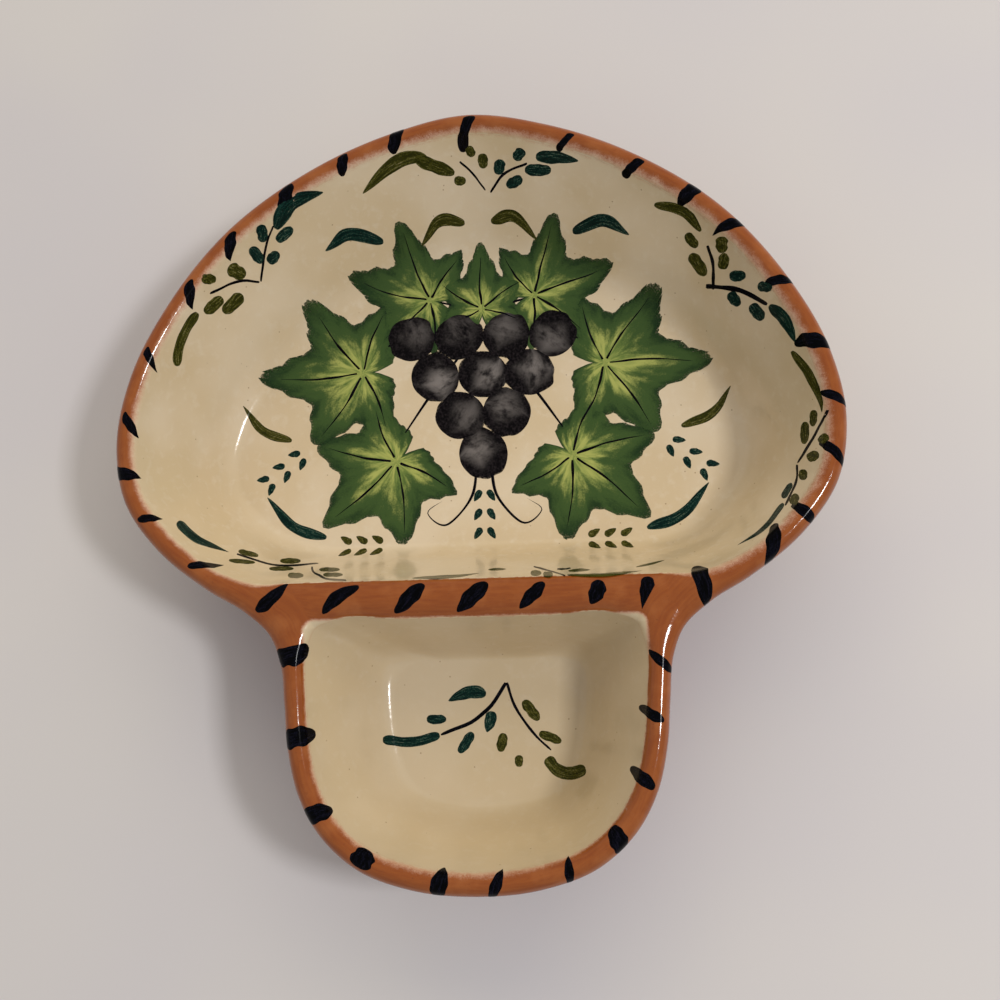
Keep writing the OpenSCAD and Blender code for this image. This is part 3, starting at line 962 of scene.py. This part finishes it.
STEM_DASHES = [
    ((281, 655.4), (309, 653.8), 13, "dab"), ((288, 740.3), (316, 734.3), 17, "dab"),
    ((306, 815), (332, 808.5), 15, "dab"), ((358, 868), (368.5, 850), 20, "dab"),
    ((437, 893), (446, 868), 14, "drop"), ((491.4, 896.8), (502, 868), 10, "both"),
    ((569, 886), (568.8, 856), 7.5, "both"), ((623, 850.5), (612, 827), 15, "dab"),
    ((654.8, 787.6), (630, 768.9), 12, "oval"), ((664.3, 722), (639, 706.6), 10, "oval"),
    ((672, 670.8), (648.2, 652), 10, "oval"),
]

# Sprig marks: lines and commas as points with a width, dots as centre, length, width and direction
LINES = [
    ([(459.2, 161), (473, 173.9), (485.8, 191.1)], 2), ([(528, 162.7), (504, 173.9), (490, 193.7)], 2.5),
    ([(273.4, 224.8), (265.5, 248.7), (260.7, 283)], 2.2),
    ([(260.7, 282.2), (237.6, 281.4), (208.9, 294.2)], 2.5),
    ([(707.1, 244.8), (713.1, 264.7), (713.1, 290.5)], 3),
    ([(704.5, 286.2), (738.1, 289.6), (768.2, 305.1)], 4.5),
    ([(828.8, 408.8), (813.3, 437.2), (797, 463.9)], 2.5),
    ([(797, 463.9), (796, 482), (784.9, 506.1)], 2.2),
    ([(235, 553.4), (276, 565), (319.8, 563.2)], 1.8),
    ([(311.8, 565.9), (313.6, 572), (320, 575.7), (327, 579), (347, 580.3)], 2),
    ([(533, 566.3), (548.6, 570.5), (565.4, 575.4)], 1.5), ([(557, 569), (564, 569), (571, 568)], 1.5),
]
STEM_LINES = [
    ([(506.2, 681.4), (497, 697), (488, 709), (475, 720), (460.6, 727), (439.6, 735.4)], 3.5),
    ([(506.2, 681.4), (516.3, 708.7), (534.5, 734), (552, 751)], 2.5),
]
TEAL_COMMAS = [
    ([(535, 156.5), (556, 157.5), (579, 161)], 12, "comma"),
    ([(275, 230), (286, 209), (300, 199), (324, 192)], 14, "comma"),
    ([(769, 304.8), (784.6, 319.8), (795.5, 343)], 11, "comma"),
    ([(177, 521.3), (195.7, 538.2), (229.6, 552.5)], 8, "tapered"),
    ([(784, 502.6), (763.4, 528.5), (736.7, 545.7)], 5, "tapered"),
]
STEM_TEAL_COMMAS = [
    ([(382, 739.5), (411.5, 742), (440.3, 734.7)], 9, "blunt"),
    ([(486.5, 694), (470, 692), (448, 701)], 12, "comma"),
    ([(472.5, 732), (466, 743), (459, 753)], 9, "dab"),
    ([(492.4, 711), (490, 722), (486.8, 732.5)], 11, "comma"),
]
MOSS_COMMAS = [
    ([(428, 158), (410, 157.5), (388, 168), (362, 194.5)], 13, "comma"),
    ([(414, 158), (434, 166), (455, 174)], 12, "dab"),
    ([(198, 312), (186, 330), (178, 352), (177, 367)], 8.5, "blunt"),
    ([(653.5, 204.4), (683, 211.3), (701.5, 232)], 9, "dab"),
    ([(791, 350.5), (808, 373), (820, 400), (822, 413)], 8.5, "comma"),
    ([(411.5, 578.2), (456.4, 576), (480, 573)], 3, "both"),
    ([(488, 569.8), (497, 569.2), (506.5, 569)], 2.5, "both"),
    ([(568, 571), (580, 570), (590.7, 569.8)], 3, "both"),
    ([(566.8, 574.7), (603.3, 574.7), (643.3, 570.5)], 3, "both"),
    ([(635.6, 567), (650, 564), (665, 560)], 2, "both"),
]
STEM_MOSS_COMMAS = [
    ([(523, 700.5), (531, 710), (539, 720.5)], 9.5, "dab"),
    ([(504, 733), (502, 742), (500.5, 752)], 9, "dab"),
    ([(519, 755), (519, 761), (519.4, 767)], 7.5, "dab"),
    ([(539, 733), (550, 737), (561.5, 742)], 8.5, "dab"),
    ([(547, 757), (556, 769), (570, 773.5), (586, 768.5)], 11.5, "blunt"),
]
TEAL_DOTS = [
    ((499.3, 167), 16, 10, (-.15, 1)), ((518.9, 154.6), 14, 10, (-.6, .8)),
    ((514.3, 182), 18, 10, (-.85, .5)), ((537.9, 170), 27, 11, (1, 0)),
    ((262.3, 233.6), 18, 10, (.1, 1)), ((284.6, 234.4), 21, 10, (.75, -.65)),
    ((256.7, 255.1), 20, 10, (.6, .8)), ((273.4, 257.5), 15, 10, (.7, -.7)),
    ((737.6, 275.8), 17, 10, (1, -.1)), ((764.8, 287), 15, 9, (1, .2)),
    ((734.3, 299.1), 17, 10, (.6, .8)), ((757, 312), 20, 11, (.6, .8)),
    ((787.1, 490.6), 18, 6, (.5, -.85)),
]
MOSS_DOTS = [
    ((470.3, 151.5), 12, 8, (.5, .86)), ((482.9, 161), 15.5, 9, (.05, 1)),
    ((460, 180.8), 12, 8.5, (1, .05)), ((236.8, 271.8), 20, 13, (.85, .5)),
    ((208.9, 279), 15, 9, (1, .1)), ((213.6, 305.3), 24, 11, (-.75, .65)),
    ((232.8, 303.7), 27, 12, (-.7, .7)), ((691.6, 240.5), 18, 9, (.6, .8)),
    ((698.1, 264.7), 27, 11, (.55, .83)), ((721.7, 244.8), 17, 11, (0, 1)),
    ((723.5, 261.2), 17, 10, (.1, -1)), ((813.3, 418.2), 17, 7, (-.1, 1)),
    ((804.7, 432.9), 23, 8, (-.05, 1)), ((823.7, 438.9), 12, 9, (.7, -.7)),
    ((813, 456.1), 13, 9, (.85, -.5)),
    ((803, 474.7), 11, 8, (0, 1)), ((794.4, 499.2), 12, 8, (.4, -.9)), ((248.4, 553.4), 21, 5, (1, .25)),
    ((242, 561.4), 27, 4, (1, .08)), ((290.4, 560.9), 21, 5, (1, 0)), ((281.4, 568.6), 25, 4, (1, 0)),
    ((295.7, 575.4), 16, 5, (1, 0)), ((329.5, 569.5), 21, 4, (1, 0)), ((333, 574.7), 20, 4, (1, 0)),
    ((536, 573), 11, 5, (1, 0)), ((548, 574.2), 10, 5, (1, 0)),
]
STEM_TEAL_DOTS = [((436.5, 719.3), 20, 8.5, (1, 0))]

# The vine on the cap's floor, in mm in plan. It is drawn on the right and mirrored to the left.
GRAPE_LENGTH = 15.5
GRAPE_WIDTH = 14.6
GRAPE_STEP = 15.2
GRAPE_ROW_STEP = 13.2
GRAPE_TOP_Y = 55
GRAPE_ROWS = 4
GRAPE_WAVER = 0.3
# Leaves: base and tip, those on the middle line first
MIDDLE_LEAVES = [((0, 64), (0, 86))]
SIDE_LEAVES = [((17, 68), (43, 75)), ((39, 44), (73, 43)), ((28, 14), (52, -7))]
VEIN_SHARE = 0.86
VEIN_WIDTH = 0.8
VEIN_BEND_SHARE = 0.03
SIDE_CANES = [
    ([(0, 62), (10, 66), (24, 69)], 0.9), ([(0, 62), (24, 56), (46, 43.5)], 1.1),
    ([(0, 58), (18, 34), (34, 10)], 1), ([(2, 14), (4, 2), (12, -7), (18, -3), (13, 1)], 0.9),
]
SIDE_TEAL_STROKES = [([(50, -10), (61, -6), (70, 4)], 3.2), ([(30, 84), (40, 84), (48, 79)], 2.6)]
SIDE_MOSS_STROKES = [([(62, 22), (72, 26), (78, 34)], 2.8), ([(4, 90), (12, 90), (19, 84)], 2.4)]
# Rows of buds: from and to
MIDDLE_BUDS = [((0, 2), (0, -10))]
SIDE_TEAL_BUDS = [((60, 16), (70, 8))]
SIDE_MOSS_BUDS = [((34, -13), (44, -13))]
BUD_PAIRS = 3
BUD_LENGTH = 4.2
BUD_WIDTH = 2
BUD_OUT = 2.2
BUD_LEAN_SHARE = 0.6


def both_sides(place):
    """A place or a list of places in mm, in metres, as it is and mirrored."""
    return [np.array(place) * MM * (side, 1) for side in (1, -1)]


def add_buds(marks, lay, line):
    """Pairs of buds on both sides of a line, each leaning forward from it."""
    ahead = unit(line[1] - line[0])
    for pair in range(BUD_PAIRS):
        middle = line[0] + (line[1] - line[0]) * pair / (BUD_PAIRS - 1)
        for side in (-1, 1):
            out = left_of(ahead) * side
            bud = middle + out * BUD_OUT * MM
            lean = ahead + out * BUD_LEAN_SHARE
            marks.dot(lay, bud, BUD_LENGTH * MM, BUD_WIDTH * MM, lean, "comma")


def add_vine(lay, teal, moss):
    """The vine: a bunch of grapes in rows that shorten downwards, leaves with veins, canes, and brushed
    strokes and buds in the two greens."""
    canes = Marks("vine_canes", lift=0.03, ragged=0.12, columns=5)
    leaves = Marks("vine_leaves", lift=0.05)
    veins = Marks("leaf_veins", lift=0.085, ragged=0.2, columns=5)
    grapes = Marks("vine_grapes", lift=0.1, ragged=0.03, columns=17)
    for line, width in SIDE_CANES:
        for side in both_sides(line):
            canes.add(lay, side, width * MM, "drawn", rows=60)
    pairs = [both_sides(pair) for pair in SIDE_LEAVES] + [both_sides(pair)[:1] for pair in MIDDLE_LEAVES]
    for base, tip in (leaf for pair in pairs for leaf in pair):
        leaves.vine_leaf(lay, base, tip)
        for lobe in range(-LOBES_BESIDE, LOBES_BESIDE + 1):
            to = turned(tip - base, lobe * LOBE_TURN)
            length = VEIN_SHARE * lobe_length(lobe * LOBE_TURN)
            middle = base + to * length / 2 + left_of(to) * VEIN_BEND_SHARE
            vein = [base, middle, base + to * length]
            veins.add(lay, vein, VEIN_WIDTH * MM, "drawn", rows=40)
    for row in range(GRAPE_ROWS):
        for k in range(GRAPE_ROWS - row):
            x = (k - (GRAPE_ROWS - row - 1) / 2) * GRAPE_STEP
            y = GRAPE_TOP_Y - row * GRAPE_ROW_STEP
            centre = (np.array((x, y)) + grapes.random.uniform(-GRAPE_WAVER, GRAPE_WAVER, 2)) * MM
            turn = grapes.random.uniform(-1, 1, 2)
            grapes.dot(lay, centre, GRAPE_LENGTH * MM, GRAPE_WIDTH * MM, turn, rows=50)
    for group, strokes in ((teal, SIDE_TEAL_STROKES), (moss, SIDE_MOSS_STROKES)):
        for line, width in strokes:
            for side in both_sides(line):
                group.add(lay, side, width * MM, "comma", rows=30)
    for group, rows in ((teal, SIDE_TEAL_BUDS), (moss, SIDE_MOSS_BUDS)):
        for line in rows:
            for side in both_sides(line):
                add_buds(group, lay, side)
    for line in MIDDLE_BUDS:
        add_buds(teal, lay, both_sides(line)[0])
    return canes, leaves, veins, grapes


# Size of an image point at the height of the rim
RIM_PX = 0.29 * MM
# Rows of the rim's table in which a dash counts as reaching the outside, and rows that it then runs on
AT_RIDGE_ROWS = 5
RUN_ON_ROWS = 0.8


def lay_dashes(marks, roll, dashes):
    """Dashes across the roll, from where the image shows one end to the other. Those that reach the
    ridge run on a little down the outside."""
    for outer, inner, width, shape in dashes:
        start, end = roll.nearest([outer, inner])
        if 0 < roll.first_seen <= start[0] <= roll.first_seen + AT_RIDGE_ROWS:
            start[0] = roll.first_seen - RUN_ON_ROWS
        column = int(min(start[1], len(roll.along) - 1))
        scale = (roll.across, roll.along[column])
        width_m = width * RIM_PX
        marks.add(roll.lay, [start, (start + end) / 2, end], width_m, shape, scale, rows=90)


def make_marks():
    """Every brushed mark, grouped by kind and colour, each group with its paint."""
    cap, stem = Well(CAP_EDGE, CAP_FLOOR, CAP_FLOOR_Z), Well(STEM_EDGE, STEM_FLOOR, STEM_FLOOR_Z)
    under = OUTER[UNDER_ROWS:0:-1]
    inner = slice(1, INNER_ROWS)
    cap_parts = [under[:, :CAP_END + 1], OVER_RIM, CAP_FACE[inner, :CAP_END + 1]]
    stem_parts = [under[:, CAP_END:], ROUND_STEM, STEM_FACE[inner, :STEM_END + 1]]
    divider_parts = [CAP_FACE[inner, CAP_END:][::-1], ALONG_DIVIDER, STEM_FACE[inner, STEM_END:][:, ::-1]]
    cap_roll = Roll(np.concatenate(cap_parts), UNDER_ROWS - 1)
    stem_roll = Roll(np.concatenate(stem_parts), UNDER_ROWS - 1)
    dashes = Marks("rim_dashes", lift=0.05, ragged=0.045, columns=9)
    lay_dashes(dashes, cap_roll, CAP_DASHES)
    lay_dashes(dashes, stem_roll, STEM_DASHES)
    lay_dashes(dashes, Roll(np.concatenate(divider_parts)), DIVIDER_DASHES)

    lines = Marks("sprig_lines", lift=0.03, ragged=0.1, columns=5)
    teal = Marks("teal_marks", lift=0.04, ragged=0.035)
    moss = Marks("moss_marks", lift=0.04, ragged=0.035)
    for well, rows in ((cap, LINES), (stem, STEM_LINES)):
        for points, width in rows:
            lines.add(well.lay, points, width, "line")
    for group, well, rows in (
        (teal, cap, TEAL_COMMAS), (teal, stem, STEM_TEAL_COMMAS),
        (moss, cap, MOSS_COMMAS), (moss, stem, STEM_MOSS_COMMAS),
    ):
        for row in rows:
            group.add(well.lay, *row, rows=30)
    for group, well, rows in (
        (teal, cap, TEAL_DOTS), (teal, stem, STEM_TEAL_DOTS), (moss, cap, MOSS_DOTS),
    ):
        for row in rows:
            group.dot(well.lay, *row, "dab")

    canes, leaves, veins, grapes = add_vine(cap.drop, teal, moss)
    ink = paint("ink", colour(5, 5, 8), colour(22, 23, 36), 0, 0.12)
    teal_paint = paint("teal", colour(12, 34, 32), colour(42, 80, 70), 0.03)
    moss_paint = paint("moss", colour(46, 48, 16), colour(106, 104, 48), 0.05)
    return [
        (dashes.make(), ink), (lines.make(), ink),
        (teal.make(), teal_paint), (moss.make(), moss_paint),
        (canes.make(), ink), (leaves.make(), leaf_paint()),
        (veins.make(), ink), (grapes.make(), grape_paint()),
    ]


# The dish

def finish_piece(piece, material):
    """Gives a piece its material, and joins it to the dish."""
    piece.data.materials.append(material)
    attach(piece, "root")
    return piece


terracotta, cream = ware("terracotta_glaze"), ware("cream_glaze")
clay = finish_piece(make_clay(), terracotta)
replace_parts(clay, "dish_body")
cap_coat = make_slip("cap_slip_coat", CAP_FACE, CAP_BACK, CAP_FEATHER, CAP_REACH)
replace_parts(finish_piece(cap_coat, cream), "cap_slip")
stem_coat = make_slip("stem_slip_coat", STEM_FACE, STEM_BACK, STEM_FEATHER, STEM_REACH)
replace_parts(finish_piece(stem_coat, cream), "stem_slip")
for piece, material in make_marks():
    finish_piece(piece, material)


# Floor, light and camera

FLOOR_REACH = 3
FLOOR_ROUGHNESS = 0.9
# How much the floor mirrors
FLOOR_SHINE = 0.1
WORLD_TINT = (1, 0.985, 0.96, 1)
WORLD_STRENGTH = 0.45


def make_floor():
    """A plain pale floor under the dish, in two close tones."""
    mesh = bpy.data.meshes.new("floor")
    corners = [(x * FLOOR_REACH, y * FLOOR_REACH, 0) for x, y in ((-1, -1), (1, -1), (1, 1), (-1, 1))]
    mesh.from_pydata(corners, [], [(0, 1, 2, 3)])
    f = Finish("pale_floor", FLOOR_ROUGHNESS)
    f.shader.inputs["Specular IOR Level"].default_value = FLOOR_SHINE
    tone = f.noise(f.place, 6, 2).ease(0.3, 0.7)
    f.set("Base Color", f.mix(colour(214, 210, 209), colour(208, 204, 208), tone))
    mesh.materials.append(f.material)
    put_in_scene("floor", mesh)


def add_light(name, at, size, power, tint):
    """A rectangular lamp that faces the middle of the dish's foot, with its second side upright."""
    lamp = bpy.data.lights.new(name, "AREA")
    lamp.shape = "RECTANGLE"
    lamp.size, lamp.size_y = size
    lamp.energy = power
    lamp.color = tint
    light = put_in_scene(name, lamp)
    light.location = at
    light.rotation_euler = Vector(at).to_track_quat("Z", "Y").to_euler()
    return light


make_floor()
add_light("right_lamp", at=(0.755, -0.09, 1.055), size=(0.2, 0.16), power=6.2, tint=(1, 1, 1))
far_side = add_light("far_side", at=(0.15, 1.7, 1.3), size=(2.6, 1.6), power=19, tint=(1, 0.87, 0.62))
# The photograph shows no shine from this side, so the glaze doesn't mirror this lamp
far_side.visible_glossy = False

world = bpy.data.worlds.new("studio")
world.use_nodes = True
sky = world.node_tree.nodes["Background"]
sky.inputs["Color"].default_value = WORLD_TINT
sky.inputs["Strength"].default_value = WORLD_STRENGTH
bpy.context.scene.world = world

lens = bpy.data.cameras.new("camera")
lens.sensor_width = SENSOR
lens.lens = LENS
camera = put_in_scene("camera", lens)
camera.location = CAMERA_AT
camera.rotation_euler = CAMERA_TURN
bpy.context.scene.camera = camera
bpy.context.scene.view_settings.view_transform = "Standard"
